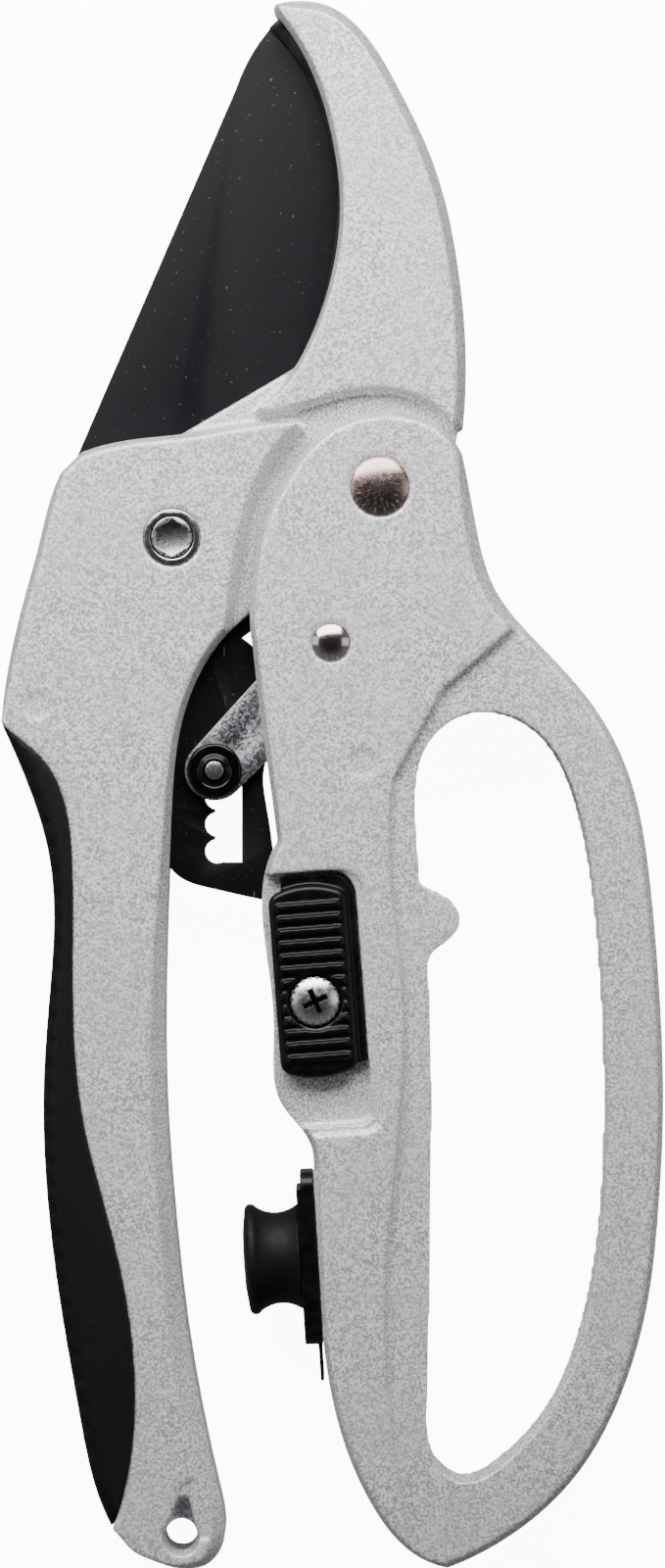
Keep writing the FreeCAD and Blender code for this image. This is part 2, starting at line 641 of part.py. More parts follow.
def lever_handle():
    """The moving handle with its finger loop, one casting."""
    outer, face = lever_rings()
    body = sloped(outer, face, casting_thickness)
    seat = brick((-bumper_plate_width / 2, bumper_plate_width / 2),
                 (-bumper_plate_length / 2, bumper_plate_length / 2), (-bumper_seat_depth, 0.0))
    deep = slab(ring(*[[p] for p in LEVER_SLOT]), -cheek, cheek)
    toe_room = brick(*TOE_ROOM, (-slot_half - web_play, slot_half + web_play))
    head_sink = half - rivet_head_sink
    cuts = [deep, toe_room, ejector_mark(LEVER_MARK)] + finger_hole() + loop_thinning() + lock_cuts()
    for pin, head in ((lever_pivot, lever_rivet_head), (link_pivot, link_rivet_head)):
        cuts += both_sides(rod(pin, head, head_sink, half + 1))
    cuts.append(rod(lever_pivot, lever_rivet_radius, -half, half))
    cuts.append(rod(link_pivot, link_rivet_radius, -half, half))
    cuts.append(bumper_frame(rod((0, 0), bumper_screw_radius, -bumper_screw_length - 0.5, 0.0)))
    clear = bumper_frame(brick((-half - 1, half + 1),
                               (-bumper_plate_length / 2, bumper_plate_length / 2), (0, 12)))
    return joined([body, bumper_frame(seat)]).cut(cuts + [clear])


def rivet(centre, shank, head):
    """A shouldered rivet through both cheeks, with a low domed head at each end."""
    sink = half - rivet_head_sink
    end = joined([rod(centre, head, sink, half), dome(centre, head, half, rivet_dome)])
    return joined([rod(centre, shank, -sink, sink)] + both_sides(end))


# ---------------------------------------------------------------- springs
def coil(radius, low):
    """A close-wound spring about Z, standing up from a level."""
    helix = Part.makeLongHelix(spring_pitch, spring_pitch * spring_turns, radius)
    section = Part.Wire(Part.makeCircle(spring_wire / 2, V(radius, 0, 0), V(0, 1, 0)))
    return raised(Part.Wire(helix.Edges).makePipeShell([section], True, True), low + spring_wire / 2)


def coil_height():
    return spring_pitch * spring_turns + spring_wire


def spring_pocket():
    """A round pocket in the web for the spring about the lever's pivot."""
    outside = handle_spring_radius + spring_wire / 2 + passing_gap
    return rod(lever_pivot, outside, web - coil_height() - 0.1, web + 1)


def handle_spring():
    low = web - coil_height()
    return placed(coil(handle_spring_radius, low), lever_pivot, 0)


def link_spring():
    radius = link_rivet_radius + spring_wire / 2 + passing_gap
    return placed(coil(radius, -coil_height() / 2), link_pivot, 120)


# ---------------------------------------------------------------- link
def link_length_and_angle():
    dx, dy = link_pivot[0] - first_notch[0], link_pivot[1] - first_notch[1]
    return math.hypot(dx, dy), math.degrees(math.atan2(dy, dx))


def link_plate():
    """One side plate of the link, drawn from its pin end at the origin towards +X."""
    length, angle = link_length_and_angle()
    end = link_end_radius
    waist = Part.makePolygon([V(0, end, 0), V(length, end, 0), V(length, -end - link_end_swell, 0),
                              V(0, -end, 0), V(0, end, 0)])
    plate = joined([slab(waist, link_low, link_high), rod((0, 0), end, link_low, link_high),
                    rod((length, -link_end_swell / 2), end + link_end_swell / 2, link_low, link_high)])
    plate = plate.cut([rod((0, 0), link_pin_radius, 0, half),
                       rod((length, 0), link_rivet_radius + running_gap, 0, half)])
    return placed(plate, first_notch, angle)


def link_pin():
    reach = cap_high + link_pin_proud
    return rod(first_notch, link_pin_radius, -reach, reach)


def pin_cap():
    """Round cap over the pin's end, with a shallow hollow about the pin."""
    cap = rod(first_notch, pin_cap_radius, cap_low, cap_high)
    cap = cap.makeFillet(pin_cap_rounding, rim_at(cap, cap_high))
    bowl = Part.makeCone(pin_cap_bowl_floor, pin_cap_bowl, pin_cap_bowl_depth,
                         V(*first_notch, cap_high - pin_cap_bowl_depth))
    return cap.cut([bowl, rod(first_notch, link_pin_radius, 0, half)])


# ---------------------------------------------------------------- lock
def thumb_bar(low, high):
    """The button's plain body, whose ends are gently arched."""
    side, end = lock_width / 2, lock_length / 2
    shoulder = end - lock_arch
    wire = Part.Wire([
        Part.Arc(V(-side, shoulder, 0), V(0, end, 0), V(side, shoulder, 0)).toShape(),
        Part.makeLine(V(side, shoulder, 0), V(side, -shoulder, 0)),
        Part.Arc(V(side, -shoulder, 0), V(0, -end, 0), V(-side, -shoulder, 0)).toShape(),
        Part.makeLine(V(-side, -shoulder, 0), V(-side, shoulder, 0))])
    bar = slab(wire, low, high)
    return bar.makeFillet(lock_corner, uprights(bar))


def button_carrier():
    """The button's lower tier, which fills the recess at its right and above it."""
    tier = brick((0, lock_width / 2 + carrier_side),
                 (-lock_length / 2 + lock_corner, lock_length / 2 + carrier_top),
                 (button_low, button_low + carrier_height))
    upper = max(uprights(tier), key=lambda e: e.CenterOfMass.x + e.CenterOfMass.y)
    tier = tier.makeFillet(recess_top_corner - passing_gap / 2, [upper])
    left = brick((-lock_width / 2 + lock_corner, 0), (0, lock_length / 2 + carrier_top),
                 (button_low, button_low + carrier_height))
    return joined([tier, left])


def lock_button():
    """Ribbed slide, with a plain round land about its screw."""
    body = thumb_bar(button_low, button_high)
    body = body.makeFillet(lock_rounding, rim_at(body, button_high))
    screw = (0, -lock_screw_below_centre)
    side = lock_width / 2 - rib_margin
    count = int((lock_length - 2 * rib_margin) / rib_pitch)
    ribs = []
    for i in range(count):
        y = (i - (count - 1) / 2) * rib_pitch
        ribs.append(brick((-side, side), (y - rib_width / 2, y + rib_width / 2),
                          (button_high - 0.1, button_high + rib_height)))
    land = rod(screw, lock_screw_head + rib_land, 0, half + 2)
    inside = thumb_bar(0, half + 2)
    ribs = [r.cut(land).common(inside) for r in ribs]
    boss = rod(screw, lock_boss_radius, latch_thickness / 2 + 0.02, button_low + 0.5)
    body = joined([body, button_carrier(), boss] + ribs)
    sink = rod(screw, lock_screw_head + 0.25, screw_seat, half + 2)
    return body.cut([sink, rod(screw, lock_screw_radius, -half, half + 1)])


def lock_latch():
    """The slide's inner plate: its finger stands under the toe of the blade's tail."""
    plate = brick((-latch_width / 2, latch_width / 2),
                  (-lock_screw_below_centre - latch_foot, latch_head),
                  (-latch_thickness / 2, latch_thickness / 2))
    screw = (0, -lock_screw_below_centre)
    return lock_frame(plate.cut(rod(screw, lock_screw_radius, -half, half)))


def cross_recess(centre, level, depth):
    """A cross-head driver's recess that opens upwards at a level."""
    arms = []
    for angle in (cross_turn, cross_turn + 90):
        arm = brick((-cross_length / 2, cross_length / 2), (-cross_width / 2, cross_width / 2),
                    (level - depth, level + 1))
        arms.append(placed(arm, centre, angle))
    return joined(arms)


def lock_screw():
    screw = (0, -lock_screw_below_centre)
    shoulder = screw_seat + lock_screw_head_height * 0.55
    top = screw_seat + lock_screw_head_height
    head = joined([rod(screw, lock_screw_head, screw_seat, shoulder),
                   dome(screw, lock_screw_head - 0.15, shoulder, top - shoulder)])
    step = 360 / lock_screw_teeth
    teeth = [rod(polar(screw, lock_screw_head + 0.12, step * i), 0.3, screw_seat - 1, top)
             for i in range(lock_screw_teeth)]
    head = head.cut(teeth + [cross_recess(screw, top, lock_cross_depth)])
    shank = rod(screw, lock_screw_radius, -button_high + lock_screw_sink + 0.3, screw_seat)
    return lock_frame(joined([head, shank]))


def lock_nut():
    screw = (0, -lock_screw_below_centre)
    nut = placed(hexagon(lock_nut_flats, -button_high - lock_nut_proud, -screw_seat), screw, 0)
    return lock_frame(nut.cut(rod(screw, lock_screw_radius, -half - 2, 0)))


# ---------------------------------------------------------------- bumper
def bumper_plate():
    """Seat of the rubber bumper, with a thin tongue down the lever's edge."""
    end = bumper_plate_length / 2
    plate = rounded_bar(bumper_plate_width, bumper_plate_length, 0, bumper_plate_thickness,
                        bumper_plate_corner)
    step = brick((-bumper_plate_width / 2, bumper_plate_width / 2),
                 (end - bumper_step_length, end + 0.1),
                 (bumper_plate_thickness - bumper_step_depth, bumper_plate_thickness + 1))
    tongue = brick((-bumper_tongue_width / 2, bumper_tongue_width / 2),
                   (-end - bumper_tongue_length, 3 - end),
                   (bumper_tongue_gap, bumper_tongue_gap + bumper_tongue_thickness))
    hole = rod((0, 0), bumper_screw_radius, -1, bumper_plate_thickness + 1)
    return bumper_frame(joined([plate, tongue]).cut([step, hole]))


def arc_in_section(start, middle, end):
    return Part.Arc(*[V(r, 0, z) for r, z in (start, middle, end)]).toShape()


def bumper():
    """Rubber spool that the handles close on."""
    low, top = bumper_plate_thickness, bumper_plate_thickness + bumper_reach
    foot = (bumper_radius - 0.3, low)
    waist = (bumper_waist, (low + top) / 2 - 0.5)
    shoulder = (bumper_radius - 0.4, top - 2.0)
    rim = (bumper_radius, top - 1.2)
    brow = (bumper_radius - 0.6, top - 0.5)
    crown = (0, top)
    edges = [arc_in_section(foot, waist, shoulder), arc_in_section(shoulder, rim, brow)]
    inside = [brow, (bumper_radius / 2, top - 0.1), crown, (0, low + bumper_bore_depth),
              (bumper_screw_head, low + bumper_bore_depth), (bumper_screw_head, low), foot]
    edges.append(Part.makePolygon([V(r, 0, z) for r, z in inside]))
    return bumper_frame(Part.Face(Part.Wire(edges)).revolve(V(0, 0, 0), V(0, 0, 1), 360))


def bumper_screw():
    """Holds the plate. The rubber spool is pressed over its head."""
    low = bumper_plate_thickness
    head = rod((0, 0), bumper_screw_head, low, low + bumper_bore_depth)
    shank = rod((0, 0), bumper_screw_radius, -bumper_screw_length, low)
    recess = cross_recess((0, 0), low + bumper_bore_depth, bumper_cross_depth)
    return bumper_frame(joined([head, shank]).cut(recess))


def parts():
    button = lock_frame(lock_button())
    front_cap, back_cap = both_sides(pin_cap())
    front_plate, back_plate = both_sides(link_plate())
    front_button, back_button = both_sides(button)
    return {
        "anvil_frame": anvil_frame(), "anvil_strip": landing_strip(), "handle_grip": handle_grip(),
        "pivot_sleeve": pivot_sleeve(), "pivot_bolt": pivot_bolt(), "pivot_nut": pivot_nut(),
        "blade": blade(),
        "lever_handle": lever_handle(),
        "lever_rivet": rivet(lever_pivot, lever_rivet_radius, lever_rivet_head),
        "link_rivet": rivet(link_pivot, link_rivet_radius, link_rivet_head),
        "handle_spring": handle_spring(), "link_spring": link_spring(),
        "bumper": bumper(), "bumper_plate": bumper_plate(), "bumper_screw": bumper_screw(),
        "link_plate_front": front_plate, "link_plate_back": back_plate, "link_pin": link_pin(),
        "pin_cap_front": front_cap, "pin_cap_back": back_cap,
        "lock_button_front": front_button, "lock_button_back": back_button,
        "lock_latch": lock_latch(), "lock_screw": lock_screw(), "lock_nut": lock_nut(),
    }


def origin_of(shapes):
    """The middle of the underside of everything together."""
    box = Part.makeCompound(list(shapes)).optimalBoundingBox(True, False)
    return V((box.XMin + box.XMax) / 2, (box.YMin + box.YMax) / 2, box.ZMin)


def main():
    os.makedirs("parts", exist_ok=True)
    shapes = parts()
    origin = origin_of(shapes.values())
    for name, shape in shapes.items():
        shape.translate(-origin)
        solids = shape.Solids
        print(f"{name:20s} solids {len(solids)} valid {shape.isValid()} volume {shape.Volume:9.1f}")
        shape.exportStep(f"parts/{name}.step")
    print("origin", origin)


main()
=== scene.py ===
"""The looks of a ratchet anvil pruner with a finger loop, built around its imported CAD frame.

Sizes are in metres. Every piece takes its place from the CAD node that it stands for.
"""
import bmesh
import bpy
import math
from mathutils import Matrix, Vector


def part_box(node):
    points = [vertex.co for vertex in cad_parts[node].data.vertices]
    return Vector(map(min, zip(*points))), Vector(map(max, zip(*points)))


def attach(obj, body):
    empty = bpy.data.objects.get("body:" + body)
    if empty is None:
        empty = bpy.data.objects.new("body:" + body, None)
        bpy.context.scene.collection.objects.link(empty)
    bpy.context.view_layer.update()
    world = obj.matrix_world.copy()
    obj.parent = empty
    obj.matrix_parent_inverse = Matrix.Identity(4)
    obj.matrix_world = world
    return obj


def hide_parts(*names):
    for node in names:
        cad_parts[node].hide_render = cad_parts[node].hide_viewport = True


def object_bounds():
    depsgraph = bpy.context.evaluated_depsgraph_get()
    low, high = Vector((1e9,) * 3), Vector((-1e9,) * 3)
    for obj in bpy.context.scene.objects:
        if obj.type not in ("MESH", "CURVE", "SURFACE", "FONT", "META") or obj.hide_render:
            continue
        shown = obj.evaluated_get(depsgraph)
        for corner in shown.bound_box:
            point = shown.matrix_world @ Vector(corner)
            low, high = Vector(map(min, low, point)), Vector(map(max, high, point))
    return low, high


bl_info = {
    "name": "Anvil pruner looks",
    "version": (1, 0, 0),
    "blender": (4, 5, 0),
    "location": "View3D > Sidebar > Pruner",
    "description": "Cast handles, rubber grip, coated blade and ratchet link of an anvil pruner",
    "category": "Mesh",
}

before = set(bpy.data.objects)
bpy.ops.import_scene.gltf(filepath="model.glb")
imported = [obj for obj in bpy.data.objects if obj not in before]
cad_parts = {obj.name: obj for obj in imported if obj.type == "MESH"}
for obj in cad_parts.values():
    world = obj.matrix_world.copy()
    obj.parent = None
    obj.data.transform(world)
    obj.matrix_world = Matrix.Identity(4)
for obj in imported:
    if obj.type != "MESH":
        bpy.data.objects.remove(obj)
CAD_BOX = [list(corner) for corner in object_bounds()]

MM = 0.001
WELD = 1e-6                     # vertices of a CAD mesh nearer than this are one
MOST_TRIANGLES = 190000         # a little under the most that a piece may have
FLAT_ANGLE = math.radians(0.6)  # faces that differ by less are one flat face
SHARP_ANGLE = math.radians(32)  # edges that turn by more are broken
EDGE_STEPS = 2
EDGES = {                       # width of each hard piece's broken edges, in millimetres
    "blade": 0.18, "anvil_strip": 0.08,
    "pivot_sleeve": 0.12, "pivot_bolt": 0.05, "pivot_nut": 0.12,
    "lever_rivet": 0.1, "link_rivet": 0.1,
    "link_plate_front": 0.14, "link_plate_back": 0.14, "link_pin": 0.12,
    "pin_cap_front": 0.15, "pin_cap_back": 0.15,
    "lock_screw": 0.1, "lock_nut": 0.1, "lock_latch": 0.1, "bumper_screw": 0.08,
}
MOULDINGS = {                   # each moulding's mesh cells, in millimetres, and its smoothing passes
    "handle_grip": (0.33, 3), "bumper": (0.2, 4), "bumper_plate": (0.16, 3),
    "lock_button_front": (0.16, 3), "lock_button_back": (0.16, 3),
}
SMOOTHING = 0.5                 # how far each pass draws a vertex towards its neighbours' middle
PIT_ROWS = 4.0                  # across the grip's thickness
PITTED_SHARE = 0.86             # of the grip's length
PIT_START = 5 * MM              # how far outside the grip the search for its skin starts
PIT_REACH = 30 * MM             # how far the search goes, past the grip's far side

# node kinds, and the settings that most of them share
NOISE = "ShaderNodeTexNoise"
RANGE = "ShaderNodeMapRange"
MIX = "ShaderNodeMix"
MATH = "ShaderNodeMath"
VECTOR = "ShaderNodeVectorMath"
BUMP = "ShaderNodeBump"
PLACE = "GeometryNodeSetPosition"
SMOOTH = {"interpolation_type": "SMOOTHSTEP"}
COLOUR = {"data_type": "RGBA"}


# ---------------------------------------------------------------- small makers
def linear(code):
    """An sRGB hex colour as linear red, green, blue and alpha."""
    shades = [int(code[i:i + 2], 16) / 255 for i in (1, 3, 5)]
    return tuple(s / 12.92 if s <= 0.04045 else ((s + 0.055) / 1.055) ** 2.4 for s in shades) + (1.0,)


def shade(colour, factor):
    """A linear colour made darker or lighter."""
    return tuple(min(c * factor, 1.0) for c in colour[:3]) + (1.0,)


def feed(node, inputs):
    """Fills the inputs that a node uses, by name, or in a row from the first one on. Each takes a
    value, a socket, or a node, which gives the first output that it uses."""
    used = [socket for socket in node.inputs if socket.enabled]
    if isinstance(inputs, dict):
        named = {socket.name: socket for socket in reversed(used)}
        pairs = [(named[name], value) for name, value in inputs.items()]
    else:
        pairs = zip(used, inputs)
    for socket, value in pairs:
        if isinstance(value, bpy.types.Node):
            value = next(output for output in value.outputs if output.enabled)
        if isinstance(value, bpy.types.NodeSocket):
            node.id_data.links.new(value, socket)
        else:
            socket.default_value = value


def add(tree, kind, inputs=(), **settings):
    """Adds a node with its settings, and feeds its inputs."""
    node = tree.nodes.new(kind)
    for name, value in settings.items():
        setattr(node, name, value)
    feed(node, inputs)
    return node


def copy_of(node, name):
    """A merged copy of a CAD node's mesh, as a new object at the origin."""
    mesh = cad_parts[node].data.copy()
    for layer in [a for a in mesh.attributes if a.name == "custom_normal"]:
        mesh.attributes.remove(layer)
    mesh.materials.clear()
    welder = bmesh.new()
    welder.from_mesh(mesh)
    bmesh.ops.remove_doubles(welder, verts=welder.verts, dist=WELD)
    welder.to_mesh(mesh)
    welder.free()
    piece = bpy.data.objects.new(name, mesh)
    bpy.context.scene.collection.objects.link(piece)
    return piece


def bake(piece):
    """Turns the piece's modifiers into its own mesh."""
    graph = bpy.context.evaluated_depsgraph_get()
    mesh = bpy.data.meshes.new_from_object(piece.evaluated_get(graph))
    piece.modifiers.clear()
    piece.data = mesh


def thin(piece):
    """Takes a mesh with more than MOST_TRIANGLES triangles down to about that many, and shades
    it smooth. Takes a mesh that is too fine down to the most triangles that a piece may have,
    and shades it smooth."""
    triangles = sum(len(face.vertices) - 2 for face in piece.data.polygons)
    if triangles > MOST_TRIANGLES:
        cut = piece.modifiers.new("thin", "DECIMATE")
        cut.ratio = MOST_TRIANGLES / triangles
        bake(piece)
    piece.data.shade_smooth()


def soft_copy(node, name, cell, passes):
    """A copy of a CAD node with every edge a little round, as a casting or a moulding has them."""
    piece = copy_of(node, name)
    cells = piece.modifiers.new("cells", "REMESH")
    cells.mode = "VOXEL"
    cells.voxel_size = cell
    melt = piece.modifiers.new("melt", "SMOOTH")
    melt.factor = SMOOTHING
    melt.iterations = passes
    bake(piece)
    thin(piece)
    return piece


def moulded_copy(node, name):
    """A soft copy with the cells and passes that the list of mouldings gives the node."""
    cell, passes = MOULDINGS[node]
    return soft_copy(node, name, cell * MM, passes)


def hard_copy(node, name):
    """A copy of a CAD node with its flat faces merged and its sharp edges given a fine round, as
    tumbled sheet metal and turned pieces have them."""
    piece = copy_of(node, name)
    shape = bmesh.new()
    shape.from_mesh(piece.data)
    bmesh.ops.dissolve_limit(shape, angle_limit=FLAT_ANGLE, verts=shape.verts, edges=shape.edges)
    shape.to_mesh(piece.data)
    shape.free()
    rounding = piece.modifiers.new("rounding", "BEVEL")
    rounding.width = EDGES[node] * MM
    rounding.segments = EDGE_STEPS
    rounding.limit_method = "ANGLE"
    rounding.angle_limit = SHARP_ANGLE
    rounding.harden_normals = False
    bake(piece)
    piece.data.shade_smooth()
    piece.data.set_sharp_from_angle(angle=SHARP_ANGLE)
    return piece


def hand_over(piece, material, body, node):
    """Gives a finished piece its material and its body, and hides the CAD node that it stands for."""
    piece.data.materials.clear()
    piece.data.materials.append(material)
    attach(piece, body)
    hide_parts(node)


def centre_of(node):
    """The middle of a CAD node's box."""
    low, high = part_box(node)
    return (low + high) / 2


# ---------------------------------------------------------------- sizes and colours
class PrunerSizes(bpy.types.PropertyGroup):
    """Sizes of the finishes that a user would change"""
    casting_cell: bpy.props.FloatProperty(
        name="Casting detail", description="Size of the mesh cells of the two castings",
        default=0.3 * MM, unit="LENGTH", precision=5)
    casting_passes: bpy.props.IntProperty(
        name="Casting softness", description="Smoothing passes that round the castings' edges",
        default=3, min=0)
    casting_grain: bpy.props.FloatProperty(
        name="Casting grain", description="Spacing of the grain in the silver enamel",
        default=0.34 * MM, unit="LENGTH", precision=5)
    pit_pitch: bpy.props.FloatProperty(
        name="Pit pitch", description="Distance between pits down the grip",
        default=3.1 * MM, unit="LENGTH", precision=5)
    pit_row_gap: bpy.props.FloatProperty(
        name="Pit row gap", description="Distance between rows of pits across the grip",
        default=3.4 * MM, unit="LENGTH", precision=5)
    pit_depth: bpy.props.FloatProperty(
        name="Pit depth", description="Depth of the moulded pits in the grip",
        default=0.45 * MM, unit="LENGTH", precision=5)
    pit_length: bpy.props.FloatProperty(
        name="Pit length", description="Half of a pit's length across the grip",
        default=1.5 * MM, unit="LENGTH", precision=5)
    pit_width: bpy.props.FloatProperty(
        name="Pit width", description="Half of a pit's width down the grip",
        default=1.05 * MM, unit="LENGTH", precision=5)


class PrunerColours(bpy.types.PropertyGroup):
    """Colours that a user would change"""
    enamel: bpy.props.FloatVectorProperty(
        name="Enamel", description="Silver enamel of the castings", subtype="COLOR", size=4,
        min=0, max=1, default=linear("#e2e0e4"))
    rubber: bpy.props.FloatVectorProperty(
        name="Rubber", description="Grip and bumper", subtype="COLOR", size=4,
        min=0, max=1, default=linear("#070708"))
    coating: bpy.props.FloatVectorProperty(
        name="Blade coating", description="Non-stick coating of the blade", subtype="COLOR", size=4,
        min=0, max=1, default=linear("#0d0c11"))
    zinc: bpy.props.FloatVectorProperty(
        name="Zinc", description="Plated link plates and latch", subtype="COLOR", size=4,
        min=0, max=1, default=linear("#bdbcc1"))
    steel: bpy.props.FloatVectorProperty(
        name="Bright steel", description="Nickel-plated fasteners", subtype="COLOR", size=4,
        min=0, max=1, default=linear("#f2f0ec"))
    plastic: bpy.props.FloatVectorProperty(
        name="Plastic", description="Thumb slides, pin caps, bumper seat and hook liner", subtype="COLOR",
        size=4, min=0, max=1, default=linear("#050506"))


def sizes():
    """The sizes as they are set in the scene."""
    return bpy.context.scene.pruner_sizes


def colours():
    """The colours as they are set in the scene."""
    return bpy.context.scene.pruner_colours


# ---------------------------------------------------------------- materials
def started(name):
    """A new material, its tree, its shader and its object coordinates."""
    material = bpy.data.materials.new(name)
    material.use_nodes = True
    tree = material.node_tree
    shader = tree.nodes["Principled BSDF"]
    place = add(tree, "ShaderNodeTexCoord").outputs["Object"]
    return material, tree, shader, place


def cast_enamel(name, grain):
    """Silver enamel stoved on die-cast aluminium: a satin silver with a fine grain, faint broad
    clouds and a few dark pinholes."""
    material, tree, shader, place = started(name)
    silver = colours().enamel[:]
    # real flakes are about 0.1 mm and pinholes 0.2 mm, too fine to show, so both are drawn coarser
    fine = add(tree, NOISE, {"Vector": place, "Scale": 1 / grain, "Detail": 3.0, "Roughness": 0.65})
    hole = add(tree, NOISE, {"Vector": place, "Scale": 1 / (0.45 * MM), "Detail": 1.0})
    cloud = add(tree, NOISE, {"Vector": place, "Scale": 1 / (9 * MM)})
    flake = add(tree, RANGE, [fine, 0.38, 0.62, 0.0, 1.0], **SMOOTH)
    tone = add(tree, MIX, [flake, shade(silver, 0.46), shade(silver, 1.3)], **COLOUR)
    dull = add(tree, RANGE, [cloud, 0.3, 0.7, 0.0, 0.35], **SMOOTH)
    tone = add(tree, MIX, [dull, tone, shade(silver, 0.9)], **COLOUR)
    dark = add(tree, RANGE, [hole, 0.745, 0.77, 0.0, 0.75], **SMOOTH)
    feed(shader, {
        "Base Color": add(tree, MIX, [dark, tone, linear("#3b3a3c")], **COLOUR),
        "Metallic": 0.35,
        "Roughness": add(tree, RANGE, [fine, 0.3, 0.7, 0.36, 0.56], **SMOOTH),
        "Normal": add(tree, BUMP, {"Height": fine, "Distance": 0.05 * MM, "Strength": 0.7})})
    return material


def moulded_rubber():
    """Thermoplastic rubber, moulded: matte and near black, with an even texture and a little dust."""
    material, tree, shader, place = started("moulded_tpr_rubber")
    rubber = colours().rubber[:]
    # a mould's texture is about 0.05 mm, too fine to show, and is drawn five times as coarse
    fine = add(tree, NOISE, {"Vector": place, "Scale": 1 / (0.25 * MM)})
    dust = add(tree, NOISE, {"Vector": place, "Scale": 1 / (0.7 * MM), "Detail": 4.0, "Roughness": 0.7})
    cloud = add(tree, NOISE, {"Vector": place, "Scale": 1 / (6 * MM)})
    worn = add(tree, RANGE, [cloud, 0.3, 0.7, 0.0, 0.5], **SMOOTH)
    tone = add(tree, MIX, [worn, rubber, shade(rubber, 1.5)], **COLOUR)
    grey = add(tree, RANGE, [dust, 0.66, 0.78, 0.0, 0.3], **SMOOTH)
    feed(shader, {
        "Base Color": add(tree, MIX, [grey, tone, linear("#39383a")], **COLOUR),
        "Specular IOR Level": 0.22,
        "Roughness": add(tree, RANGE, [fine, 0.3, 0.7, 0.5, 0.68], **SMOOTH),
        "Normal": add(tree, BUMP, {"Height": fine, "Distance": 0.03 * MM, "Strength": 0.4})})
    return material


def moulded_plastic(name, gloss):
    """Acetal, injection moulded: black, from a soft gloss to a polish, with a slight handling haze."""
    material, tree, shader, place = started(name)
    plastic = colours().plastic[:]
    haze = add(tree, NOISE, {"Vector": place, "Scale": 1 / (1.6 * MM), "Detail": 4.0, "Roughness": 0.6})
    # a mould's texture is about 0.05 mm, too fine to show, and is drawn six times as coarse
    fine = add(tree, NOISE, {"Vector": place, "Scale": 1 / (0.3 * MM)})
    grey = add(tree, RANGE, [haze, 0.45, 0.75, 0.0, 0.6], **SMOOTH)
    feed(shader, {
        "Base Color": add(tree, MIX, [grey, plastic, shade(plastic, 2.0)], **COLOUR),
        "Specular IOR Level": 0.28,
        "Roughness": add(tree, RANGE, [haze, 0.3, 0.7, gloss, gloss * 1.5], **SMOOTH),
        "Normal": add(tree, BUMP, {"Height": fine, "Distance": 0.02 * MM, "Strength": 0.35})})
    return material


def coated_steel():
    """Non-stick coating sprayed on hardened steel: smooth, dark and waxy, with dust specks and
    light scratches along the tail."""
    material, tree, shader, place = started("ptfe_coated_steel")
    coat = colours().coating[:]
    cloud = add(tree, NOISE, {"Vector": place, "Scale": 1 / (5 * MM), "Detail": 3.0})
    tint = add(tree, RANGE, [cloud, 0.3, 0.7, 0.0, 1.0], **SMOOTH)
    tone = add(tree, MIX, [tint, shade(coat, 0.93), shade(coat, 1.07)], **COLOUR)
    # real specks and scratches are about 0.1 mm wide, too fine to show, so they are drawn coarser
    speck = add(tree, NOISE, {"Vector": place, "Scale": 1 / (0.42 * MM), "Detail": 1.0})
    dust = add(tree, RANGE, [speck, 0.75, 0.775, 0.0, 0.5], **SMOOTH)
    tone = add(tree, MIX, [dust, tone, linear("#6c6b6e")], **COLOUR)
    drawn = add(tree, "ShaderNodeMapping",
                {"Vector": place, "Rotation": (0, 0, 0.35), "Scale": (1.0, 0.03, 1.0)})
    line = add(tree, NOISE, {"Vector": drawn, "Scale": 1 / (0.22 * MM)})
    line = add(tree, RANGE, [line, 0.7, 0.76, 0.0, 1.0], **SMOOTH)
    # scratches begin below the pivot and grow stronger down the tail
    height = add(tree, "ShaderNodeSeparateXYZ", [place]).outputs["Y"]
    pivot = centre_of("pivot_sleeve").y
    tail = add(tree, RANGE, [height, pivot - 8 * MM, pivot - 14 * MM, 0.0, 0.6], **SMOOTH)
    scratch = add(tree, MATH, [line, tail], operation="MULTIPLY")
    peel = add(tree, NOISE, {"Vector": place, "Scale": 1 / (0.6 * MM), "Detail": 3.0})
    feed(shader, {
        "Base Color": add(tree, MIX, [scratch, tone, linear("#8a898d")], **COLOUR),
        "Specular IOR Level": 0.15,
        "Roughness": add(tree, RANGE, [cloud, 0.3, 0.7, 0.48, 0.54], **SMOOTH),
        "Normal": add(tree, BUMP, {"Height": peel, "Distance": 0.004 * MM, "Strength": 0.3})})
    return material


def zinc_spangle():
    """Zinc plating on stamped steel sheet: mottled grey crystals of slightly different gloss."""
    material, tree, shader, place = started("zinc_plated_sheet")
    zinc = colours().zinc[:]
    # plated crystals are under 0.1 mm, too fine to show, and are drawn at least three times as coarse
    crystals = add(tree, "ShaderNodeTexVoronoi", {"Vector": place, "Scale": 1 / (0.3 * MM)})
    shine = add(tree, "ShaderNodeSeparateColor", [crystals.outputs["Color"]])
    fine = add(tree, NOISE, {"Vector": place, "Scale": 1 / (0.22 * MM), "Detail": 3.0, "Roughness": 0.7})
    tone = add(tree, MIX, [shine, shade(zinc, 0.5), shade(zinc, 1.25)], **COLOUR)
    dull = add(tree, RANGE, [fine, 0.42, 0.6, 0.0, 0.75], **SMOOTH)
    feed(shader, {
        "Base Color": add(tree, MIX, [dull, tone, shade(zinc, 0.4)], **COLOUR),
        "Metallic": 1.0,
        "Roughness": add(tree, RANGE, [shine, 0.0, 1.0, 0.3, 0.52], **SMOOTH),
        "Normal": add(tree, BUMP, {"Height": fine, "Distance": 0.02 * MM, "Strength": 0.5})})
    return material


